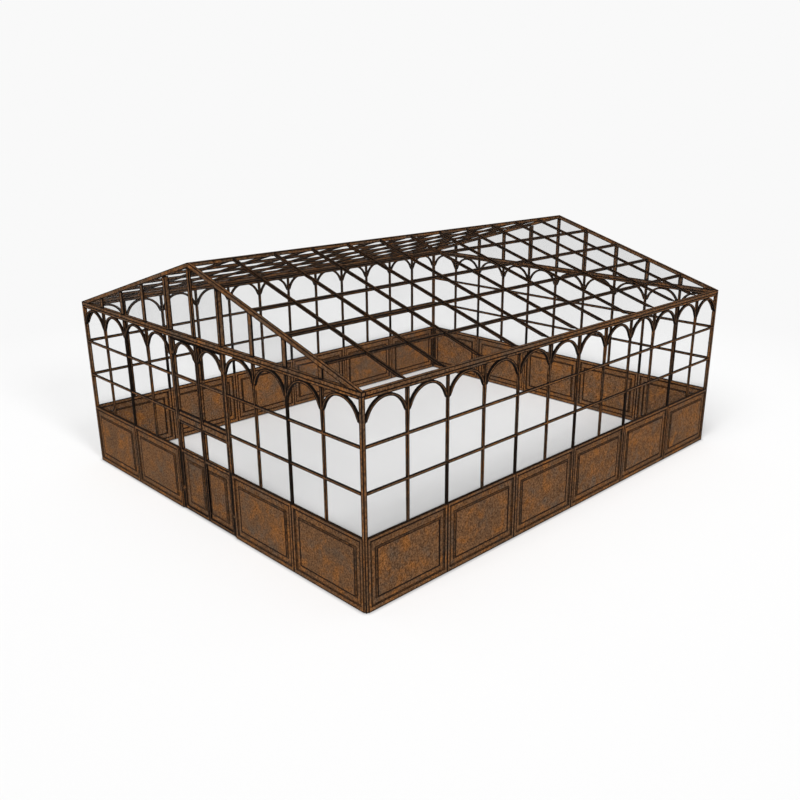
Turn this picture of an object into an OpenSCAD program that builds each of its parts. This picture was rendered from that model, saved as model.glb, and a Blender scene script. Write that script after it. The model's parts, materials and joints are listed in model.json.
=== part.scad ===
// Glass greenhouse with a rusted iron frame, a panelled base and a gable roof.
// X runs across the gables, Y runs along the ridge and Z is up.
// The double door is in the front gable, which faces -Y.
// The origin is the middle of the ground plan, at ground level.

/* [Plan] */
// Distance between the centre lines of two neighbouring uprights
light_pitch = 600; // [520:10:700]
// Number of bays along each side wall, two lights to a bay
side_bays = 6; // [3:1:8]
// Number of bays across each gable, with the door in the middle one
gable_bays = 5; // [3:2:7]

/* [Heights] */
// Top of the panelled base
base_h = 861; // [700:1:1000]
// Top of the eave and tie beams
eave_h = 2434; // [2300:1:2600]
// Top of the ridge
ridge_h = 3331; // [3150:1:3500]
// Centre of the lower glazing bar
lower_bar_z = 1356; // [1250:1:1450]
// Centre of the upper glazing bar
upper_bar_z = 1858; // [1750:1:1950]

/* [Wall frame] */
// Side of the square corner posts
corner_post = 45; // [40:1:54]
// Width of a door jamb
jamb_w = 50; // [40:1:60]
// Depth of a door jamb
jamb_d = 28; // [27:1:40]
// Width and depth of the bay posts and mullions
bar_w = 28; // [24:1:34]
// Height of a horizontal glazing bar
cross_bar_h = 33; // [24:1:40]
// Width of an arch rib
rib_w = 26; // [18:1:30]
// Height cut off the crown of each arch by the beam above it
crown_cut = 2; // [2:1:12]
// Height of an arch's feet above its centre
foot_rise = 50; // [20:1:70]
// Thickness of the glass
glass_t = 5; // [3:1:5]

/* [Base panels] */
// Projection of the panels beyond the bars that stand on them
base_lip = 10; // [4:1:14]
// Width of the rim at the sides
rim_w = 45; // [36:1:54]
// Height of the rim along the bottom
rim_foot_h = 57; // [40:1:70]
// Height of the rim along the top
rim_top_h = 47; // [40:1:60]
// Depth of the flat border below the rim
recess_d = 12; // [8:1:13]
// Width of the flat border at the sides
border_w = 72; // [40:1:80]
// Height of the flat border along the top
border_top_h = 83; // [50:1:90]
// Height of the flat border along the bottom
border_foot_h = 72; // [40:1:80]
// Width of the bevel round the raised field
bevel_w = 14; // [10:1:24]
// Rise of the raised field above the border
field_rise = 12; // [4:1:12]
// Gap between two neighbouring panels
panel_gap = 3; // [2:1:5]

/* [Beams and roof] */
// Height of the eave and tie beams, both bands together
beam_h = 83; // [70:1:90]
// Height of the upper band of a beam
upper_band_h = 48; // [30:1:50]
// Depth of the upper band of a beam
beam_d = 54; // [50:1:60]
// Set-back of the lower band's face behind the upper one
lower_band_set = 4; // [2:1:9]
// Width of the ridge beam
ridge_w = 50; // [40:1:60]
// Height of the ridge beam's sides
ridge_side_h = 45; // [44:1:70]
// Width of a rafter
rafter_w = 30; // [24:1:36]
// Depth of the rafters' tops below the roof plane, square to the slope
rafter_drop = 12; // [6:1:16]
// Depth of the rafters' undersides below the roof plane, square to the slope
rafter_d = 40; // [32:1:42]
// Depth of a gable rafter, square to the slope
gable_rafter_d = 55; // [52:1:64]
// Width of a gable rafter
gable_rafter_w = 42; // [36:1:50]
// Number of purlins on each slope
purlins = 4; // [2:1:4]
// Side of the square purlins
purlin_w = 30; // [24:1:32]
// Depth of the purlins' tops below the roof plane, square to the slope
purlin_drop = 19; // [18:1:22]
// Side of the square gable uprights
gable_upright_w = 35; // [28:1:40]
// Side of the gable uprights over the doorway
door_upright_w = 50; // [40:1:52]
// Depth of the roof glass below the roof plane, square to the slope
roof_glass_drop = 13; // [12:0.5:13]

/* [Doors] */
// Thickness of a leaf
leaf_t = 45; // [38:1:48]
// Width of a stile
stile_w = 30; // [26:1:40]
// Height of a leaf's top rail
top_rail_h = 17; // [16:1:40]
// Height of the lock rail, with its bevels
lock_rail_h = 172; // [120:1:180]
// Height of the lock rail's underside
lock_rail_z = 1213; // [1150:1:1300]
// Height of each bevel of the lock rail
lock_bevel_h = 45; // [20:1:50]
// Depth of each bevel of the lock rail
lock_bevel_d = 15; // [8:1:30]
// Height of a leaf's glazing bar
leaf_bar_h = 38; // [18:1:44]
// Width of the flat border of a leaf's panel at the hinges
hinge_border_w = 88; // [60:1:100]
// Width of the flat border of a leaf's panel at the meeting stile
meeting_border_w = 24; // [16:1:40]
// Gap between a leaf and its jamb
hinge_gap = 6; // [5:1:10]
// Gap between the two leaves
meeting_gap = 10; // [10:1:16]
// Gap above and below a leaf
end_gap = 8; // [6:1:12]
// Radius of a hinge pin
pin_r = 4; // [3:0.5:4]
// Radial clearance round a hinge pin
pin_play = 0.4; // [0.3:0.1:0.5]
// Outer radius of a hinge knuckle
knuckle_r = 6.5; // [6.5:0.5:7]

/* [Hidden] */
$fn = 96;
half_w = gable_bays * light_pitch;
half_l = side_bays * light_pitch;
beam_half = beam_d / 2;
outer_w = half_w + beam_half;
outer_l = half_l + beam_half;
post_in = corner_post - beam_half;
rafter_in = gable_rafter_w - beam_half;
bar_h = bar_w / 2;
bar_in = bar_w - beam_half;
base_t = bar_w + base_lip;
beam_under = eave_h - beam_h;
glass_y = bar_in - 1 - glass_t;
slope = (ridge_h - eave_h) / outer_w;
pitch = atan(slope);
hinge_z = [300, 1230, 2140];
knuckle_h = 40;
strap_l = 40;
strap_t = 5;
hinge_x = jamb_w / 2 - light_pitch + hinge_gap / 2;
leaf_face = -half_l - beam_half + 4;
hinge_y = leaf_face - knuckle_r - 1;
leaf_x0 = jamb_w / 2 - light_pitch + hinge_gap;
leaf_x1 = -meeting_gap / 2;
leaf_top = beam_under - end_gap;
leaf_glass_top = leaf_top - top_rail_h;
leaf_panel_z = [rim_foot_h, base_h - rim_top_h];
leaf_glass_y = leaf_face + 32;
rust = "#6d513a";
dark_rust = "#57402e";
clear_glass = [0.86, 0.9, 0.9, 0.35];

// Height of the top of the roof slope at a distance from the ridge line
function roof_z(x) = eave_h + (outer_w - abs(x)) * slope;

// Vertical size of a depth measured square to the slope
function plumb(d) = d / cos(pitch);

// Half width of the upright on grid line k of a wall with n lights to each side of its middle
function upright_half(k, n, doorway) =
    abs(k) == n ? post_in : (doorway && abs(k) == 1 ? jamb_w / 2 : bar_h);

// Bays of a wall, each given by its first grid line
function bays(n, doorway) = [for (k = [-n:2:n - 2]) if (!doorway || k != -1) k];

// Places a wall that is drawn along X with its outside at -Y
module on_left() { rotate([0, 0, -90]) translate([0, -half_w, 0]) children(); }
module on_right() { rotate([0, 0, 90]) translate([0, -half_w, 0]) children(); }
module on_front() { translate([0, -half_l, 0]) children(); }
module on_back() { rotate([0, 0, 180]) translate([0, -half_l, 0]) children(); }

// Box between two corners
module span_box(a, b) { translate(a) cube(b - a); }

// Flat-topped field with bevelled sides that rises from the plane z = 0
module raised_field(w, h) {
    side_w = [[-w / 2, 0], [w / 2, 0], [w / 2 - bevel_w, field_rise], [bevel_w - w / 2, field_rise]];
    side_h = [[-h / 2, 0], [h / 2, 0], [h / 2 - bevel_w, field_rise], [bevel_w - h / 2, field_rise]];
    intersection() {
        translate([0, h / 2, 0]) rotate([90, 0, 0]) linear_extrude(h) polygon(side_w);
        translate([-w / 2, 0, 0]) rotate([90, 0, 90]) linear_extrude(w) polygon(side_h);
    }
}

// Fields on both faces of a web of thickness t, between x0 and x1 and between z0 and z1
module fields(x0, x1, z0, z1, t) {
    translate([(x0 + x1) / 2, 0, (z0 + z1) / 2])
        for (side = [0, 1])
            mirror([0, side, 0])
                translate([0, -t / 2, 0])
                    rotate([90, 0, 0])
                        raised_field(x1 - x0, z1 - z0);
}

// One base panel between x0 and x1, standing on the ground
module base_panel(x0, x1) {
    margin = rim_w + border_w;
    translate([0, bar_in - base_t / 2, 0]) {
        difference() {
            span_box([x0, -base_t / 2, 0], [x1, base_t / 2, base_h]);
            for (side = [0, 1])
                mirror([0, side, 0])
                    span_box([x0 + rim_w, -base_t / 2 - 1, rim_foot_h],
                             [x1 - rim_w, recess_d - base_t / 2, base_h - rim_top_h]);
        }
        fields(x0 + margin, x1 - margin, rim_foot_h + border_foot_h,
               base_h - rim_top_h - border_top_h, base_t - 2 * recess_d);
    }
}

// Base panels of a wall, which butt on the jambs, leave a gap between each other and are cut away
// behind their outer lip for the corner posts
module base_panels(n, doorway) {
    difference() {
        for (k = bays(n, doorway)) {
            start = doorway && k == 1 ? jamb_w / 2 : panel_gap / 2;
            end = doorway && k == -3 ? jamb_w / 2 : panel_gap / 2;
            base_panel(k * light_pitch + start, (k + 2) * light_pitch - end);
        }
        for (side = [0, 1])
            mirror([side, 0, 0])
                span_box([n * light_pitch - post_in, -beam_half, -1],
                         [n * light_pitch + 1, bar_in + 1, base_h + 1]);
    }
}

// Square posts at the bay lines, from the base to the beam
module bay_posts(n, doorway) {
    for (k = [2 - n:2:n - 2])
        if (!doorway || abs(k) != 1)
            span_box([k * light_pitch - bar_h, -beam_half, base_h],
                     [k * light_pitch + bar_h, bar_in, beam_under]);
}

// Half-round rib between x0 and x1, with its crown cut flat at height top and its feet cut slanting
module arch(x0, x1, y0, y1, top) {
    r = (x1 - x0) / 2 + 8;
    centre_z = top + crown_cut - r;
    foot_z = centre_z + foot_rise;
    toe = rib_w + 4;
    translate([0, y1, 0])
        rotate([90, 0, 0])
            linear_extrude(y1 - y0)
                intersection() {
                    translate([(x0 + x1) / 2, centre_z])
                        difference() {
                            circle(r);
                            circle(r - rib_w);
                        }
                    polygon([[x0, foot_z], [x0 + toe, foot_z + toe], [x1 - toe, foot_z + toe],
                             [x1, foot_z], [x1, top], [x0, top]]);
                }
}

// Bars of every bay: the mullion, two horizontals and an arch over each light
module wall_bars(n, doorway) {
    for (k = bays(n, doorway)) {
        x0 = k * light_pitch + upright_half(k, n, doorway);
        xm = (k + 1) * light_pitch;
        x1 = (k + 2) * light_pitch - upright_half(k + 2, n, doorway);
        span_box([xm - bar_h, -beam_half, base_h], [xm + bar_h, bar_in, beam_under]);
        for (z = [lower_bar_z, upper_bar_z])
            span_box([x0, -beam_half, z - cross_bar_h / 2], [x1, glass_y, z + cross_bar_h / 2]);
        arch(x0, xm - bar_h, -beam_half, glass_y, beam_under);
        arch(xm + bar_h, x1, -beam_half, glass_y, beam_under);
    }
}

// One pane to a light, between the uprights and behind the horizontals
module wall_glass(n, doorway) {
    for (k = bays(n, doorway))
        for (i = [k, k + 1]) {
            x0 = i * light_pitch + upright_half(i, n, doorway);
            x1 = (i + 1) * light_pitch - upright_half(i + 1, n, doorway);
            span_box([x0, glass_y, base_h], [x1, glass_y + glass_t, beam_under]);
        }
}

// Beam of two bands, the upper one reaching upper_l and the lower one lower_l from the middle
module banded_beam(upper_l, lower_l) {
    step = eave_h - upper_band_h;
    span_box([-upper_l, -beam_half, step], [upper_l, beam_half, eave_h]);
    span_box([-lower_l, lower_band_set - beam_half, beam_under], [lower_l, post_in, step]);
}

// Sloping bar on the +X slope from the eave to x0, between depths d0 and d1, cut level at the eave
module slope_bar(x0, d0, d1, y0, y1) {
    foot0 = outer_w - plumb(d0) / slope;
    foot1 = outer_w - plumb(d1) / slope;
    translate([0, y1, 0])
        rotate([90, 0, 0])
            linear_extrude(y1 - y0)
                polygon([[foot0, eave_h], [x0, roof_z(x0) - plumb(d0)],
                         [x0, roof_z(x0) - plumb(d1)], [foot1, eave_h]]);
}

// Underside of the gable rafters at a distance from the ridge line
function gable_under(x) = roof_z(x) - plumb(gable_rafter_d);

// Half width of the gable upright on grid line k
function gable_half(k) = (abs(k) <= 1 ? door_upright_w : gable_upright_w) / 2;

// Upright pieces of a gable, cut to the slope of its rafters
module gable_uprights() {
    for (k = [1 - gable_bays:gable_bays - 1]) {
        x0 = k * light_pitch - gable_half(k);
        x1 = k * light_pitch + gable_half(k);
        peak = k == 0 ? [[0, gable_under(0)]] : [];
        translate([0, gable_half(k), 0])
            rotate([90, 0, 0])
                linear_extrude(2 * gable_half(k))
                    polygon(concat([[x0, eave_h], [x1, eave_h], [x1, gable_under(x1)]],
                                   peak, [[x0, gable_under(x0)]]));
    }
}

// Panes of a gable, between its uprights and a little below its rafters
module gable_glass() {
    bed = 1.5;
    tip = outer_w - (plumb(gable_rafter_d) + bed) / slope;
    for (k = [0:gable_bays - 1]) {
        x0 = k * light_pitch + gable_half(k);
        x1 = k == gable_bays - 1 ? tip : (k + 1) * light_pitch - gable_half(k + 1);
        outline = [[x0, eave_h], [x1, eave_h], [x1, gable_under(x1) - bed], [x0, gable_under(x0) - bed]];
        corners = k == gable_bays - 1 ? [outline[0], outline[1], outline[3]] : outline;
        for (side = [0, 1])
            mirror([side, 0, 0])
                translate([0, glass_t / 2, 0])
                    rotate([90, 0, 0])
                        linear_extrude(glass_t)
                            polygon(corners);
    }
}

// Grid of the +X slope: the rafters between the gables and the purlins across them
module slope_bars() {
    reach = half_l - rafter_in;
    for (k = [1 - side_bays:side_bays - 1])
        slope_bar(ridge_w / 2, rafter_drop, rafter_d,
                  k * light_pitch - rafter_w / 2, k * light_pitch + rafter_w / 2);
    for (k = [1:purlins])
        translate([k * half_w / (purlins + 1), 0, roof_z(k * half_w / (purlins + 1))])
            rotate([0, pitch, 0])
                span_box([-purlin_w / 2, -reach, -purlin_drop - purlin_w],
                         [purlin_w / 2, reach, -purlin_drop]);
}

// Panes of the +X slope, one between each two rafters
module slope_glass() {
    for (k = [-side_bays:side_bays - 1]) {
        y0 = k * light_pitch + (k == -side_bays ? rafter_in : rafter_w / 2);
        y1 = (k + 1) * light_pitch - (k == side_bays - 1 ? rafter_in : rafter_w / 2);
        slope_bar(ridge_w / 2, roof_glass_drop, roof_glass_drop + glass_t, y0, y1);
    }
}

// Frame of the left leaf: its panel opening, its two lights and the bevelled lock rail between them
module leaf_frame() {
    x0 = leaf_x0 + stile_w;
    x1 = leaf_x1 - stile_w;
    rail_top = lock_rail_z + lock_rail_h;
    difference() {
        span_box([leaf_x0, leaf_face, end_gap], [leaf_x1, leaf_face + leaf_t, leaf_top]);
        for (z = [leaf_panel_z, [base_h, leaf_glass_top]])
            span_box([x0, leaf_face - 1, z[0]], [x1, leaf_face + leaf_t + 1, z[1]]);
    }
    translate([x0, leaf_face, 0])
        rotate([90, 0, 90])
            linear_extrude(x1 - x0)
                polygon([[0, lock_rail_z + lock_bevel_h], [lock_bevel_d, lock_rail_z],
                         [leaf_t, lock_rail_z], [leaf_t, rail_top],
                         [lock_bevel_d, rail_top], [0, rail_top - lock_bevel_h]]);
}

// Panel of the left leaf with a raised field on both faces
module leaf_panel() {
    web_t = leaf_t - 2 * recess_d;
    x0 = leaf_x0 + stile_w;
    x1 = leaf_x1 - stile_w;
    z0 = leaf_panel_z[0];
    z1 = leaf_panel_z[1];
    translate([0, leaf_face + leaf_t / 2, 0]) {
        span_box([x0, -web_t / 2, z0], [x1, web_t / 2, z1]);
        fields(x0 + hinge_border_w, x1 - meeting_border_w, z0 + border_foot_h, z1 - border_top_h, web_t);
    }
}

// Glazing bar and arch of the left leaf
module leaf_bars() {
    x0 = leaf_x0 + stile_w;
    x1 = leaf_x1 - stile_w;
    span_box([x0, leaf_face + 3, upper_bar_z - leaf_bar_h / 2],
             [x1, leaf_glass_y, upper_bar_z + leaf_bar_h / 2]);
    arch(x0, x1, leaf_face + 3, leaf_glass_y, leaf_glass_top);
}

// Two panes of the left leaf
module leaf_glass() {
    x0 = leaf_x0 + stile_w;
    x1 = leaf_x1 - stile_w;
    for (z = [[base_h, lock_rail_z], [lock_rail_z + lock_rail_h, leaf_glass_top]])
        span_box([x0, leaf_glass_y, z[0]], [x1, leaf_glass_y + glass_t, z[1]]);
}

// Hinge eyes of the left leaf, each a ring with a strap on the leaf's face
module leaf_eyes() {
    for (z = hinge_z)
        translate([hinge_x, hinge_y, z])
            difference() {
                union() {
                    cylinder(r = knuckle_r, h = knuckle_h);
                    span_box([0, leaf_face - hinge_y - strap_t, 4],
                             [strap_l, leaf_face - hinge_y, knuckle_h - 4]);
                }
                translate([0, 0, -1]) cylinder(r = pin_r + pin_play, h = knuckle_h + 2);
            }
}

// Hinge pins of the left jamb, each standing on a knuckle with a strap on the jamb's face
module jamb_pins() {
    for (z = hinge_z)
        translate([hinge_x, hinge_y, z - knuckle_h - 1]) {
            cylinder(r = knuckle_r, h = knuckle_h);
            cylinder(r = pin_r, h = 2 * knuckle_h);
            span_box([-strap_l, leaf_face - hinge_y - strap_t, 4],
                     [0, leaf_face - hinge_y, knuckle_h - 4]);
        }
}

module corner_posts() {
    color(rust)
        for (side = [0, 1], end = [0, 1])
            mirror([side, 0, 0])
                mirror([0, end, 0])
                    span_box([half_w - post_in, half_l - post_in, 0],
                             [outer_w, outer_l, eave_h - upper_band_h]);
}

module door_jambs() {
    color(rust)
        for (x = [-light_pitch, light_pitch])
            span_box([x - jamb_w / 2, leaf_face, 0], [x + jamb_w / 2, leaf_face + jamb_d, beam_under]);
}

module left_wall_posts() { color(rust) on_left() bay_posts(side_bays, false); }
module right_wall_posts() { color(rust) on_right() bay_posts(side_bays, false); }
module back_wall_posts() { color(rust) on_back() bay_posts(gable_bays, false); }
module front_wall_posts() { color(rust) on_front() bay_posts(gable_bays, true); }

module left_base_panels() { color(rust) on_left() base_panels(side_bays, false); }
module right_base_panels() { color(rust) on_right() base_panels(side_bays, false); }
module back_base_panels() { color(rust) on_back() base_panels(gable_bays, false); }
module front_base_panels() { color(rust) on_front() base_panels(gable_bays, true); }

module left_wall_bars() { color(rust) on_left() wall_bars(side_bays, false); }
module right_wall_bars() { color(rust) on_right() wall_bars(side_bays, false); }
module back_wall_bars() { color(rust) on_back() wall_bars(gable_bays, false); }
module front_wall_bars() { color(rust) on_front() wall_bars(gable_bays, true); }

module left_wall_glass() { color(clear_glass) on_left() wall_glass(side_bays, false); }
module right_wall_glass() { color(clear_glass) on_right() wall_glass(side_bays, false); }
module back_wall_glass() { color(clear_glass) on_back() wall_glass(gable_bays, false); }
module front_wall_glass() { color(clear_glass) on_front() wall_glass(gable_bays, true); }

module eave_beam() { banded_beam(half_l - beam_half, half_l - post_in); }
module left_eave_beam() { color(rust) on_left() eave_beam(); }
module right_eave_beam() { color(rust) on_right() eave_beam(); }
module front_tie_beam() { color(rust) on_front() banded_beam(outer_w, half_w - post_in); }
module back_tie_beam() { color(rust) on_back() banded_beam(outer_w, half_w - post_in); }

module gable_rafter() { slope_bar(0, 0, gable_rafter_d, -beam_half, rafter_in); }
module front_left_gable_rafter() { color(rust) on_front() mirror([1, 0, 0]) gable_rafter(); }
module front_right_gable_rafter() { color(rust) on_front() gable_rafter(); }
module back_left_gable_rafter() { color(rust) on_back() gable_rafter(); }
module back_right_gable_rafter() { color(rust) on_back() mirror([1, 0, 0]) gable_rafter(); }

module front_gable_uprights() { color(rust) on_front() gable_uprights(); }
module back_gable_uprights() { color(rust) on_back() gable_uprights(); }
module front_gable_glass() { color(clear_glass) on_front() gable_glass(); }
module back_gable_glass() { color(clear_glass) on_back() gable_glass(); }

module ridge_beam() {
    edge = roof_z(ridge_w / 2);
    color(rust)
        translate([0, half_l - rafter_in, 0])
            rotate([90, 0, 0])
                linear_extrude(2 * (half_l - rafter_in))
                    polygon([[-ridge_w / 2, edge - ridge_side_h], [ridge_w / 2, edge - ridge_side_h],
                             [ridge_w / 2, edge], [0, ridge_h], [-ridge_w / 2, edge]]);
}

module left_roof_bars() { color(rust) mirror([1, 0, 0]) slope_bars(); }
module right_roof_bars() { color(rust) slope_bars(); }
module left_roof_glass() { color(clear_glass) mirror([1, 0, 0]) slope_glass(); }
module right_roof_glass() { color(clear_glass) slope_glass(); }

module left_door_frame() { color(rust) leaf_frame(); }
module left_door_panel() { color(rust) leaf_panel(); }
module left_door_bars() { color(rust) leaf_bars(); }
module left_door_glass() { color(clear_glass) leaf_glass(); }
module left_door_eyes() { color(dark_rust) leaf_eyes(); }
module right_door_frame() { color(rust) mirror([1, 0, 0]) leaf_frame(); }
module right_door_panel() { color(rust) mirror([1, 0, 0]) leaf_panel(); }
module right_door_bars() { color(rust) mirror([1, 0, 0]) leaf_bars(); }
module right_door_glass() { color(clear_glass) mirror([1, 0, 0]) leaf_glass(); }
module right_door_eyes() { color(dark_rust) mirror([1, 0, 0]) leaf_eyes(); }
module left_jamb_pins() { color(dark_rust) jamb_pins(); }
module right_jamb_pins() { color(dark_rust) mirror([1, 0, 0]) jamb_pins(); }

corner_posts();
door_jambs();
left_wall_posts();
right_wall_posts();
back_wall_posts();
front_wall_posts();
left_base_panels();
right_base_panels();
back_base_panels();
front_base_panels();
left_wall_bars();
right_wall_bars();
back_wall_bars();
front_wall_bars();
left_wall_glass();
right_wall_glass();
back_wall_glass();
front_wall_glass();
left_eave_beam();
right_eave_beam();
front_tie_beam();
back_tie_beam();
front_left_gable_rafter();
front_right_gable_rafter();
back_left_gable_rafter();
back_right_gable_rafter();
front_gable_uprights();
back_gable_uprights();
front_gable_glass();
back_gable_glass();
ridge_beam();
left_roof_bars();
right_roof_bars();
left_roof_glass();
right_roof_glass();
left_door_frame();
left_door_panel();
left_door_bars();
left_door_glass();
left_door_eyes();
right_door_frame();
right_door_panel();
right_door_bars();
right_door_glass();
right_door_eyes();
left_jamb_pins();
right_jamb_pins();
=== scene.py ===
import json
import math

import bmesh
import bpy
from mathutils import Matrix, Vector


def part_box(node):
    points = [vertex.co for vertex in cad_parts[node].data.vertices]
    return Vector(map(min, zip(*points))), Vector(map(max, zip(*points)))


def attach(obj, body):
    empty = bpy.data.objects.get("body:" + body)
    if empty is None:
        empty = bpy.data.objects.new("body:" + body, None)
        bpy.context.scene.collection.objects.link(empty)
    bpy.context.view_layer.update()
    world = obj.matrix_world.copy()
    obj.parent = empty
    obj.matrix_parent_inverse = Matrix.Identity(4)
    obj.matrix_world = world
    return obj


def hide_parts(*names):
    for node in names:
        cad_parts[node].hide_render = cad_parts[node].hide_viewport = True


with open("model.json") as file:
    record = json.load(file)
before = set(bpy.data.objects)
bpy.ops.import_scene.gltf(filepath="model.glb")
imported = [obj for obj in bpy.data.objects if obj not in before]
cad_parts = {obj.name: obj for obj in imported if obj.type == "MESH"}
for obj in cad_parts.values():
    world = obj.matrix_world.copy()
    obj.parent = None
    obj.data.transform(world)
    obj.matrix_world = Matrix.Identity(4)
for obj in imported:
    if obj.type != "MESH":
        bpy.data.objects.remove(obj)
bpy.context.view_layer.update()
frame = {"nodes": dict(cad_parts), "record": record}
nodes = frame["nodes"]
scene = bpy.context.scene
record = frame["record"]
body_of_node = {n: body for body, names in record["behaviour"]["bodies"].items() for n in names}

# Places in metres, as in the solids
PITCH, HALF_W, HALF_L = 0.6, 3.0, 3.6
NEAR_CORNER = Vector((HALF_W, -HALF_L, 0.4))
FAR_WALLS = ("left", "back")
BAR_RISE, ARCH_DROP = 0.495, 0.30
sill_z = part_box("right_wall_glass")[0].z
wall_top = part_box("right_wall_bars")[1].z
bar_z = sill_z + BAR_RISE
arch_z = wall_top - ARCH_DROP


# Node helpers
def new_material(name):
    mat = bpy.data.materials.new(name)
    mat.use_nodes = True
    tree = mat.node_tree
    shader = next(n for n in tree.nodes if n.type == "BSDF_PRINCIPLED")
    return mat, tree, shader


def object_place(tree):
    return tree.nodes.new("ShaderNodeTexCoord").outputs["Object"]


def height_of(tree, place):
    node = tree.nodes.new("ShaderNodeSeparateXYZ")
    tree.links.new(place, node.inputs[0])
    return node.outputs["Z"]


def noise(tree, place, scale, detail, rough, distort=0.0):
    node = tree.nodes.new("ShaderNodeTexNoise")
    node.inputs["Scale"].default_value = scale
    node.inputs["Detail"].default_value = detail
    node.inputs["Roughness"].default_value = rough
    node.inputs["Distortion"].default_value = distort
    tree.links.new(place, node.inputs["Vector"])
    return node.outputs["Fac"]


def ramp(tree, factor, stops):
    node = tree.nodes.new("ShaderNodeValToRGB")
    elements = node.color_ramp.elements
    while len(elements) < len(stops):
        elements.new(0.5)
    for element, (place, colour) in zip(elements, stops):
        element.position = place
        element.color = (*colour, 1)
    tree.links.new(factor, node.inputs["Fac"])
    return node.outputs["Color"]


def grey_ramp(tree, factor, stops):
    return ramp(tree, factor, [(place, (value, value, value)) for place, value in stops])


def mix(tree, kind, factor, a, b):
    node = tree.nodes.new("ShaderNodeMix")
    node.data_type = "RGBA"
    node.blend_type = kind
    if isinstance(factor, float):
        node.inputs[0].default_value = factor
    else:
        tree.links.new(factor, node.inputs[0])
    for value, place in ((a, 6), (b, 7)):
        if isinstance(value, tuple):
            node.inputs[place].default_value = (*value, 1)
        else:
            tree.links.new(value, node.inputs[place])
    return node.outputs[2]


def math_node(tree, kind, a, b):
    node = tree.nodes.new("ShaderNodeMath")
    node.operation = kind
    for value, place in ((a, 0), (b, 1)):
        if isinstance(value, float):
            node.inputs[place].default_value = value
        else:
            tree.links.new(value, node.inputs[place])
    return node.outputs[0]


# Colours of the rust at full gain, in linear light
RUST_BODY = ((0.30, (0.125, 0.066, 0.033)),
             (0.50, (0.155, 0.077, 0.035)),
             (0.70, (0.190, 0.087, 0.034)))
RUST_BLOOM = (0.270, 0.104, 0.026)
RUST_CRUST = (0.110, 0.078, 0.054)
IRON_SPECULAR = 0.05
BLACKED = 0.12
HEIGHT_SHARE = 0.25


def gained(colour, gain):
    return tuple(channel * gain for channel in colour)


# Rusted iron with orange bloom, dull patches and a dark grain, nearly black between two heights
def rust(name, gain, seed=0.0, black_span=None, grain_scale=34.0, contrast=0.8, dull_from=0.48):
    mat, tree, shader = new_material(name)
    coord = object_place(tree)
    shift = tree.nodes.new("ShaderNodeMapping")
    shift.inputs["Location"].default_value = (seed, seed * 1.7, seed * 0.6)
    tree.links.new(coord, shift.inputs["Vector"])
    place = shift.outputs["Vector"]
    broad = noise(tree, place, scale=2.4, detail=6, rough=0.62, distort=0.4)
    patch = noise(tree, place, scale=4.6, detail=7, rough=0.62, distort=0.6)
    dull = noise(tree, place, scale=3.6, detail=8, rough=0.66, distort=0.2)
    grain = noise(tree, place, scale=grain_scale, detail=6, rough=0.72)
    body = ramp(tree, broad, [(stop, gained(colour, gain)) for stop, colour in RUST_BODY])
    bloom = grey_ramp(tree, patch, [(0.48, 0.0), (0.66, 0.85)])
    body = mix(tree, "MIX", bloom, body, gained(RUST_BLOOM, gain))
    crust = grey_ramp(tree, dull, [(dull_from, 0.0), (dull_from + 0.16, 0.75)])
    body = mix(tree, "MIX", crust, body, gained(RUST_CRUST, gain))
    tone = grey_ramp(tree, grain, [(0.36, 1.0 - contrast), (0.50, 0.98),
                                   (0.64, 1.0 + 1.1 * contrast)])
    body = mix(tree, "MULTIPLY", 1.0, body, tone)
    if black_span:
        up = math_node(tree, "MULTIPLY", height_of(tree, coord), HEIGHT_SHARE)
        low, high = (z * HEIGHT_SHARE for z in black_span)
        shade = grey_ramp(tree, up, [(low - 0.002, 1.0), (low, BLACKED),
                                     (high, BLACKED), (high + 0.005, 1.0)])
        body = mix(tree, "MULTIPLY", 1.0, body, shade)
    tree.links.new(body, shader.inputs["Base Color"])
    tree.links.new(grey_ramp(tree, grain, [(0.3, 0.95), (0.7, 0.78)]), shader.inputs["Roughness"])
    shader.inputs["Specular IOR Level"].default_value = IRON_SPECULAR
    bump = tree.nodes.new("ShaderNodeBump")
    bump.inputs["Strength"].default_value = 0.3
    bump.inputs["Distance"].default_value = 0.003
    tree.links.new(grain, bump.inputs["Height"])
    tree.links.new(bump.outputs["Normal"], shader.inputs["Normal"])
    return mat


# Nearly black colour for the dark bands along edges, and painted shade in the recesses of the
# mouldings
def dark_edges_and_shade(name):
    mat, tree, shader = new_material(name)
    place = object_place(tree)
    broad = noise(tree, place, scale=6.0, detail=6, rough=0.6)
    grain = noise(tree, place, scale=120.0, detail=4, rough=0.65)
    body = ramp(tree, broad, [(0.35, (0.003, 0.002, 0.0015)), (0.70, (0.009, 0.005, 0.003))])
    body = mix(tree, "MULTIPLY", 1.0, body, grey_ramp(tree, grain, [(0.3, 0.6), (0.7, 1.4)]))
    tree.links.new(body, shader.inputs["Base Color"])
    tree.links.new(grey_ramp(tree, grain, [(0.3, 0.95), (0.7, 0.75)]), shader.inputs["Roughness"])
    shader.inputs["Specular IOR Level"].default_value = IRON_SPECULAR
    return mat
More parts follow.
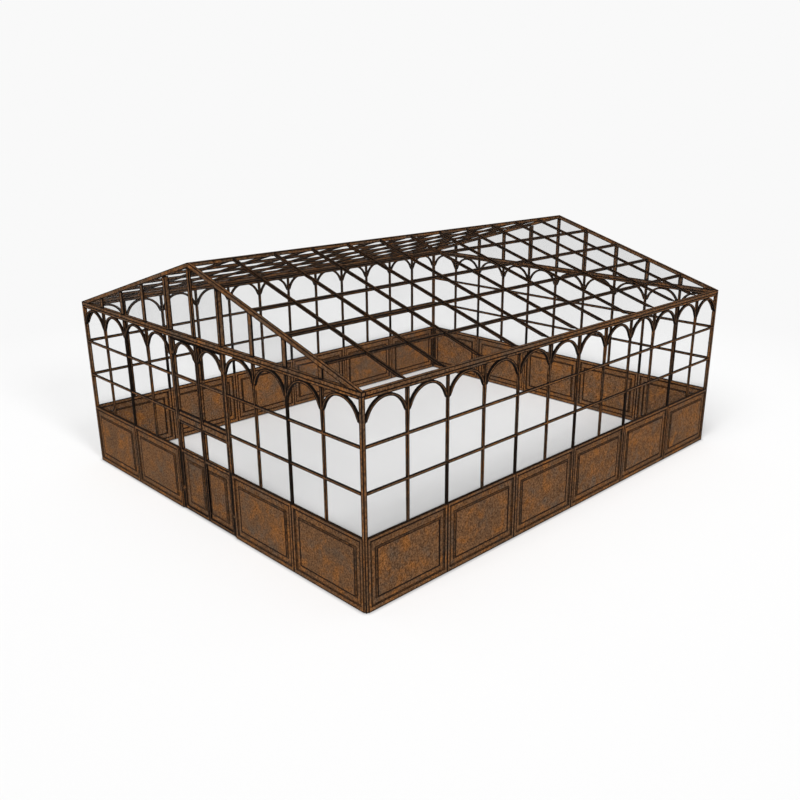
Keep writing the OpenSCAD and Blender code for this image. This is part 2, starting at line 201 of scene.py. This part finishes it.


# Clear glass with a faint grey film, and painted shade along the foot of the wall panes, darkest at
# the sill
def film_glass(name, cover_low, cover_high, shaded_foot=False):
    mat, tree, shader = new_material(name)
    place = object_place(tree)
    film = noise(tree, place, scale=1.6, detail=5, rough=0.6)
    tree.links.new(ramp(tree, film, [(0.3, (0.012, 0.013, 0.013)), (0.7, (0.022, 0.023, 0.023))]),
                   shader.inputs["Base Color"])
    cover = grey_ramp(tree, film, [(0.3, cover_low), (0.7, cover_high)])
    if shaded_foot:
        # Painted shade: the panes grow more opaque and dark just above the sill
        above = math_node(tree, "SUBTRACT", height_of(tree, place), sill_z)
        foot_shade = grey_ramp(tree, above, [(0.0, 0.20), (0.02, 0.08), (0.07, 0.025), (0.14, 0.0)])
        cover = math_node(tree, "ADD", cover, foot_shade)
    tree.links.new(cover, shader.inputs["Alpha"])
    tree.links.new(grey_ramp(tree, film, [(0.3, 0.04), (0.7, 0.12)]), shader.inputs["Roughness"])
    shader.inputs["Specular IOR Level"].default_value = 0.2
    return mat


# Iron, with a finer grain on the panels and black stretches on posts and jambs
PANEL_GRAIN = {"grain_scale": 46.0, "contrast": 0.68}
GABLE_BLACK = 0.75
frame_rust = rust("frame_rust", 0.58)
panel_rust = rust("panel_rust", 0.62, 3.1, dull_from=0.51, **PANEL_GRAIN)
door_rust = rust("door_rust", 0.58, 5.7, dull_from=0.49, **PANEL_GRAIN)
# Panels of the far walls are painted brighter, as painted light against the shade they get inside the
# house
far_rust_painted_light = rust("far_rust_painted_light", 0.94, 8.3, dull_from=0.51, **PANEL_GRAIN)
roof_rust = rust("roof_rust", 0.38, 7.7)
ledge_rust = rust("ledge_rust", 0.10, 2.2)
bevel_rust = rust("bevel_rust", 0.25, 4.4)
hinge_rust = rust("hinge_rust", 0.4, 5.3)
post_rust = rust("post_rust", 0.48, 1.3, black_span=(sill_z, bar_z))
gable_post_rust = rust("gable_post_rust", 0.48, 6.1, black_span=(sill_z, bar_z + GABLE_BLACK))
jamb_rust = rust("jamb_rust", 0.52, 9.4, black_span=(0.02, sill_z))
edge_dark = dark_edges_and_shade("edge_dark")

# Glass, with more film on the far walls, the gables and the roof
wall_glass = film_glass("wall_glass_film", 0.004, 0.010, shaded_foot=True)
far_glass = film_glass("far_glass_film", 0.040, 0.060, shaded_foot=True)
gable_glass = film_glass("gable_glass_film", 0.085, 0.115)
roof_glass = film_glass("roof_glass_film", 0.034, 0.050)

# Places of the four materials in a dressed piece
BODY, EDGE, LEDGE, BEVEL = range(4)
# Widths of the dark bands in metres
BAR_BAND, PANEL_BAND, DOOR_PANEL_BAND = 0.009, 0.008, 0.009
ROOF_BAND, UPRIGHT_BAND, DOOR_BAND, JAMB_BAND = 0.010, 0.013, 0.012, 0.010
# Growth of the outer panels' bands for each metre from the near corner
BAND_GROWTH = 0.05
# Upright bands of a panel are this much wider than level ones
BAND_STRETCH = 1.6
# A face narrower than this many bands is dark all over
NARROW = 2.4
# Two bands in turn on the rim and on the border of a panel, as shares of its band
RIM_BANDS, BORDER_BANDS = (0.7, 0.9), (0.8, 0.9)
# The rim is as high as the panel, and its second band is marked only at its top and foot
RIM_SHORT, RIM_TOP, RIM_FOOT = 0.02, 0.1, 0.02
# Least width of a border, and its greatest as a share of its height
BORDER_LEAST, BORDER_SHARE = 0.04, 0.3
# Normals of slanting mouldings and of ledges
SLANT_FROM, SLANT_TO, LEDGE_UP = 0.15, 0.99, 0.95
# Swelling in metres, for the width of the edges on slim and far bars
ROOF_SWELL, ARCH_SWELL, FAR_BAR_SWELL = 0.004, 0.004, 0.0035
POST_SWELL, FAR_POST_SWELL = 0.001, 0.003
SWELL_LIMIT = 1.5


# Faces of a mesh in groups that meet at blunt angles
def face_groups(bm, blunt=0.985):
    bm.faces.ensure_lookup_table()
    seen, groups = set(), []
    for first in bm.faces:
        if first.index in seen:
            continue
        seen.add(first.index)
        group, todo = [], [first]
        while todo:
            face = todo.pop()
            group.append(face)
            for edge in face.edges:
                if len(edge.link_faces) != 2:
                    continue
                other = edge.link_faces[0] if edge.link_faces[1] == face else edge.link_faces[1]
                if other.index not in seen and face.normal.dot(other.normal) > blunt:
                    seen.add(other.index)
                    todo.append(other)
        groups.append(group)
    return groups


# Width of a group, taken as its area over half its outline
def group_width(group):
    inside = set(group)
    outline = sum(e.calc_length() for f in group for e in f.edges
                  if sum(other in inside for other in e.link_faces) == 1)
    return 2.0 * sum(f.calc_area() for f in group) / max(outline, 1e-6)


# Lowest and highest corners of a group of faces
def group_reach(group):
    corners = [v.co for f in group for v in f.verts]
    low = Vector([min(c[i] for c in corners) for i in range(3)])
    high = Vector([max(c[i] for c in corners) for i in range(3)])
    return low, high


# Direction along the wall, x or y, of a form between two corners
def wall_axis(low, high):
    return 0 if high.x - low.x > high.y - low.y else 1


def paint(group, part):
    for face in group:
        face.material_index = part


# Bands along the edges of a flat group, coloured by whether they lie near its outer outline
def dark_band(bm, group, low, high, thickness, outer, inner, outer_margin=0.022):
    along = wall_axis(low, high)
    made = bmesh.ops.inset_region(bm, faces=group, thickness=thickness, depth=0.0,
                                  use_boundary=True, use_even_offset=True)
    for face in made["faces"]:
        middle = face.calc_center_median()
        margin = min(middle.z - low.z, high.z - middle.z,
                     middle[along] - low[along], high[along] - middle[along])
        face.material_index = outer if margin < outer_margin else inner
    return made["faces"]


# Bands of one flat face of a moulded panel: its rim, its border or its field
def mark_moulding(bm, group, low, high, width, band):
    height = high.z - low.z
    rim = height > sill_z - RIM_SHORT
    border = BORDER_LEAST < width < BORDER_SHARE * height
    if rim:
        dark_band(bm, group, low, high, RIM_BANDS[0] * band, EDGE, EDGE)
        for face in dark_band(bm, group, low, high, RIM_BANDS[1] * band, BODY, EDGE):
            place = face.calc_center_median().z
            if place < high.z - RIM_TOP:
                face.material_index = BEVEL if place < low.z + RIM_FOOT else BODY
    elif border:
        dark_band(bm, group, low, high, BORDER_BANDS[0] * band, BEVEL, EDGE)
        dark_band(bm, group, low, high, BORDER_BANDS[1] * band, BEVEL, BODY)
    else:
        dark_band(bm, group, low, high, band, EDGE, EDGE)


# Dark bands, ledges and slanting mouldings of a panel
def mark_panel_group(bm, group, band, grows):
    normal = group[0].normal
    sideways = max(abs(normal.x), abs(normal.y))
    slant = SLANT_FROM < sideways < SLANT_TO and abs(normal.z) < SLANT_TO
    width = group_width(group)
    low, high = group_reach(group)
    if slant or width < NARROW * band:
        paint(group, BEVEL)
    elif normal.z > LEDGE_UP:
        paint(group, LEDGE)
    else:
        distance = ((low + high) / 2 - NEAR_CORNER).length if grows else 0.0
        mark_moulding(bm, group, low, high, width, band * (1.0 + BAND_GROWTH * distance))


# Dark bands along the edges of a bar or beam, which is all dark where it is narrow
def mark_bar_group(bm, group, band):
    if group_width(group) < NARROW * band:
        paint(group, EDGE)
    else:
        dark_band(bm, group, *group_reach(group), band, EDGE, EDGE)


# Iron above a height grows outward
def swell_iron(bm, amount, above):
    bm.normal_update()
    shifts = [v.normal * min(v.calc_shell_factor(), SWELL_LIMIT) for v in bm.verts]
    for vert, shift in zip(bm.verts, shifts):
        if vert.co.z > above:
            vert.co += shift * amount


# The node's place, body and slot go to a piece made of a changed copy of its mesh
def replace_node(name, bm, mat):
    mesh = bpy.data.meshes.new(name + "_dressed")
    bm.to_mesh(mesh)
    bm.free()
    for part in (mat, edge_dark, ledge_rust, bevel_rust):
        mesh.materials.append(part)
    piece = bpy.data.objects.new(name + "_dressed", mesh)
    scene.collection.objects.link(piece)
    piece.matrix_world = nodes[name].matrix_world
    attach(piece, body_of_node[name])
    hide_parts(name)


# Copy of a node's mesh with its corners joined
def mesh_of_node(name, join=0.00002):
    bm = bmesh.new()
    bm.from_mesh(nodes[name].data)
    bmesh.ops.remove_doubles(bm, verts=bm.verts, dist=join)
    return bm


# Bars, beams and posts with dark bands along every edge
def dress_bars(name, mat, band=BAR_BAND, move=None, swell=0.0, swell_above=-1.0):
    bm = mesh_of_node(name)
    if move:
        for vert in bm.verts:
            vert.co = move(vert.co)
    bm.normal_update()
    for group in face_groups(bm):
        mark_bar_group(bm, group, band)
    if swell:
        swell_iron(bm, swell, swell_above)
    replace_node(name, bm, mat)


# Moulded panels, shortened along the wall while their bands are cut
def dress_panels(name, mat, band, grows):
    bm = mesh_of_node(name)
    along = wall_axis(*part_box(name))
    for vert in bm.verts:
        vert.co[along] /= BAND_STRETCH
    bm.normal_update()
    for group in face_groups(bm):
        mark_panel_group(bm, group, band, grows)
    for vert in bm.verts:
        vert.co[along] *= BAND_STRETCH
    replace_node(name, bm, mat)


# Widening and shift of the flat gable uprights, and how far those over the doorway move inward
UPRIGHT_SPREAD, UPRIGHT_SHIFT, DOORWAY_INSET = 2.1, 0.007, 0.018
# Depths of their back and front faces outside the wall's middle, and the depth between the solids' two
UPRIGHT_BACK, UPRIGHT_FRONT, DOORWAY_FRONT, UPRIGHT_SPLIT = 0.0025, 0.018, 0.037, 0.004


# Gable uprights as the photograph shows them: broad flat bars, and deeper ones over the doorway
def broad_upright(co):
    line = round(co.x / PITCH)
    across = co.x - line * PITCH
    out = -1.0 if co.y < 0 else 1.0
    depth = abs(co.y) - HALF_L
    front = depth > UPRIGHT_SPLIT
    if abs(line) <= 1:
        across -= DOORWAY_INSET * line
        if front:
            depth = DOORWAY_FRONT
        elif line == 0:
            depth = UPRIGHT_BACK
    else:
        across = UPRIGHT_SPREAD * across - UPRIGHT_SHIFT
        depth = UPRIGHT_FRONT if front else UPRIGHT_BACK
    return Vector((line * PITCH + across, out * (HALF_L + depth), co.z))


# Materials on a node whose shape stays
def coat(obj, mat):
    obj.data.materials.clear()
    obj.data.materials.append(mat)


# Each node by the kind that its name ends in
for name, obj in nodes.items():
    far = name.startswith(FAR_WALLS)
    if name.endswith("_door_glass"):
        coat(obj, wall_glass)
    elif name.endswith("_wall_glass"):
        coat(obj, far_glass if far else wall_glass)
    elif name.endswith("_gable_glass"):
        coat(obj, gable_glass)
    elif name.endswith("_glass"):
        coat(obj, roof_glass)
    elif name.endswith(("_eyes", "_pins")):
        coat(obj, hinge_rust)
    elif name.endswith("_door_panel"):
        dress_panels(name, door_rust, DOOR_PANEL_BAND, grows=True)
    elif name.endswith("_base_panels"):
        dress_panels(name, far_rust_painted_light if far else panel_rust, PANEL_BAND, grows=not far)
    elif name.endswith("_roof_bars"):
        dress_bars(name, roof_rust, ROOF_BAND, swell=ROOF_SWELL)
    elif name.endswith("_gable_uprights"):
        dress_bars(name, frame_rust, UPRIGHT_BAND, move=broad_upright)
    elif name.endswith("_wall_posts"):
        dress_bars(name, gable_post_rust if name == "front_wall_posts" else post_rust,
                   swell=FAR_POST_SWELL if far else POST_SWELL)
    elif name.endswith("_wall_bars") and far:
        dress_bars(name, frame_rust, swell=FAR_BAR_SWELL)
    elif name.endswith(("_wall_bars", "_door_bars")):
        dress_bars(name, frame_rust, swell=ARCH_SWELL, swell_above=arch_z)
    elif name.endswith("_door_frame"):
        dress_bars(name, frame_rust, DOOR_BAND)
    elif name == "door_jambs":
        dress_bars(name, jamb_rust, JAMB_BAND)
    else:
        dress_bars(name, frame_rust)

# Blunt feet of the wall arches: depths in the wall, and outline from the post and the foot's base
FOOT_DEPTHS = (-0.027, -0.005)
FOOT_OUTLINE = ((0.0, 0.0), (0.025, 0.0), (0.031, 0.022), (0.0, 0.01))
FOOT_RISE = 0.055
ARCH_BITE, ARCH_CROWN = 0.008, 0.002
# Half widths of the corner posts, the door jambs and the other posts and mullions at the arches
CORNER_HALF, JAMB_HALF, POST_HALF = 0.018, 0.025, 0.014


# Blunt feet of the arches of one wall, below their slanting ends
def arch_feet(name, spans, place):
    corners, faces = [], []
    count = len(FOOT_OUTLINE)
    sides = [(i, i + count, (i + 1) % count + count, (i + 1) % count) for i in range(count)]
    rings = [tuple(range(count)), tuple(range(2 * count - 1, count - 1, -1)), *sides]
    for x0, x1 in spans:
        radius = (x1 - x0) / 2 + ARCH_BITE
        foot = wall_top + ARCH_CROWN - radius + FOOT_RISE
        for side, x in ((1, x0), (-1, x1)):
            first = len(corners)
            corners += [place(x + side * dx, y, foot + dz)
                        for y in FOOT_DEPTHS for dx, dz in FOOT_OUTLINE]
            faces += [[first + i for i in ring] for ring in rings]
    mesh = bpy.data.meshes.new(name)
    mesh.from_pydata(corners, [], faces)
    bm = bmesh.new()
    bm.from_mesh(mesh)
    bmesh.ops.recalc_face_normals(bm, faces=bm.faces)
    bm.to_mesh(mesh)
    bm.free()
    mesh.materials.append(edge_dark)
    piece = bpy.data.objects.new(name, mesh)
    scene.collection.objects.link(piece)
    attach(piece, "greenhouse")


# Clear span of every light of a wall with n lights to each side of its middle
def light_spans(n, doorway=False):
    half = {n: CORNER_HALF, -n: CORNER_HALF}
    if doorway:
        half.update({1: JAMB_HALF, -1: JAMB_HALF})
    return [(k * PITCH + half.get(k, POST_HALF), (k + 1) * PITCH - half.get(k + 1, POST_HALF))
            for k in range(-n, n) if not doorway or k not in (-1, 0)]


arch_feet("front_arch_feet", light_spans(5, doorway=True), lambda x, y, z: (x, y - HALF_L, z))
arch_feet("back_arch_feet", light_spans(5), lambda x, y, z: (-x, HALF_L - y, z))
arch_feet("right_arch_feet", light_spans(6), lambda x, y, z: (HALF_W - y, x, z))
arch_feet("left_arch_feet", light_spans(6), lambda x, y, z: (y - HALF_W, -x, z))

# Half width and drop of the floor, span of its fade and reach of its painted contact shade
FLOOR_HALF, FLOOR_DROP, FADE_SPAN, CONTACT_REACH = 260.0, 0.001, 40.0, 0.055
# Light of the backdrop and of the dome
BACKDROP, DOME = 0.947, 0.25


# Pale floor that fades into the backdrop, with a narrow painted shade where the walls meet it
def pale_floor():
    mesh = bpy.data.meshes.new("floor")
    corners = [(x * FLOOR_HALF, y * FLOOR_HALF, 0) for x, y in ((-1, -1), (1, -1), (1, 1), (-1, 1))]
    mesh.from_pydata(corners, [], [(0, 1, 2, 3)])
    floor = bpy.data.objects.new("floor", mesh)
    scene.collection.objects.link(floor)
    floor.location.z = -FLOOR_DROP
    mat, tree, shader = new_material("pale_floor")
    reach = tree.nodes.new("ShaderNodeVectorMath")
    reach.operation = "LENGTH"
    tree.links.new(object_place(tree), reach.inputs[0])
    away = math_node(tree, "MULTIPLY", reach.outputs["Value"], 1.0 / FADE_SPAN)
    # Painted shade: ambient occlusion darkens the floor's colour close to the walls
    contact = tree.nodes.new("ShaderNodeAmbientOcclusion")
    contact.inputs["Distance"].default_value = CONTACT_REACH
    plain = grey_ramp(tree, away, [(0.10, 0.81), (0.30, 0.32), (0.60, 0.0)])
    shaded = mix(tree, "MULTIPLY", 1.0, plain, contact.outputs["Color"])
    tree.links.new(shaded, shader.inputs["Base Color"])
    tree.links.new(grey_ramp(tree, away, [(0.10, 0.0), (0.30, 0.54), (0.60, BACKDROP)]),
                   shader.inputs["Emission Color"])
    shader.inputs["Emission Strength"].default_value = 1.0
    shader.inputs["Roughness"].default_value = 0.9
    shader.inputs["Specular IOR Level"].default_value = 0.0
    mesh.materials.append(mat)


# Bright band behind the floor and a dim dome above it
def studio_world():
    world = bpy.data.worlds.new("studio")
    world.use_nodes = True
    sky = world.node_tree
    back = next(n for n in sky.nodes if n.type == "BACKGROUND")
    up = height_of(sky, sky.nodes.new("ShaderNodeTexCoord").outputs["Generated"])
    sky.links.new(grey_ramp(sky, up, [(0.0, BACKDROP), (0.19, BACKDROP), (0.32, DOME), (1.0, DOME)]),
                  back.inputs["Color"])
    back.inputs["Strength"].default_value = 1.0
    scene.world = world


# Broad distant light, placed by its azimuth from the front, elevation and spread in degrees
def sun(name, azimuth, elevation, strength, spread):
    data = bpy.data.lights.new(name, "SUN")
    data.energy = strength
    data.angle = math.radians(spread)
    obj = bpy.data.objects.new(name, data)
    scene.collection.objects.link(obj)
    a, e = math.radians(azimuth), math.radians(elevation)
    toward = Vector((math.sin(a) * math.cos(e), -math.cos(a) * math.cos(e), math.sin(e)))
    obj.rotation_euler = toward.to_track_quat("Z", "Y").to_euler()


pale_floor()
studio_world()
sun("key", azimuth=19, elevation=50, strength=3.15, spread=38)
sun("side", azimuth=83, elevation=24, strength=1.6, spread=14)
scene.view_settings.view_transform = "Standard"
scene.view_settings.look = "None"

# Camera at the photograph's viewing angle, with lengths in pixels, millimetres, metres and degrees
FRAME_PX, FOCAL_PX, CENTRE_PX = 800.0, 845.9895, (419.324, 411.5762)
SENSOR_MM = 36.0
EYE, LOOK_DOWN, LOOK_AROUND = (8.8537, -8.6767, 4.9058), 19.0877, 44.9635
camera = bpy.data.cameras.new("camera")
camera.sensor_fit = "HORIZONTAL"
camera.sensor_width = SENSOR_MM
camera.lens = FOCAL_PX * SENSOR_MM / FRAME_PX
camera.shift_x = -(CENTRE_PX[0] - FRAME_PX / 2) / FRAME_PX
camera.shift_y = (CENTRE_PX[1] - FRAME_PX / 2) / FRAME_PX
camera.clip_end = 1000.0
eye = bpy.data.objects.new("camera", camera)
scene.collection.objects.link(eye)
eye.location = EYE
eye.rotation_euler = (math.radians(90 - LOOK_DOWN), 0, math.radians(LOOK_AROUND))
scene.camera = eye
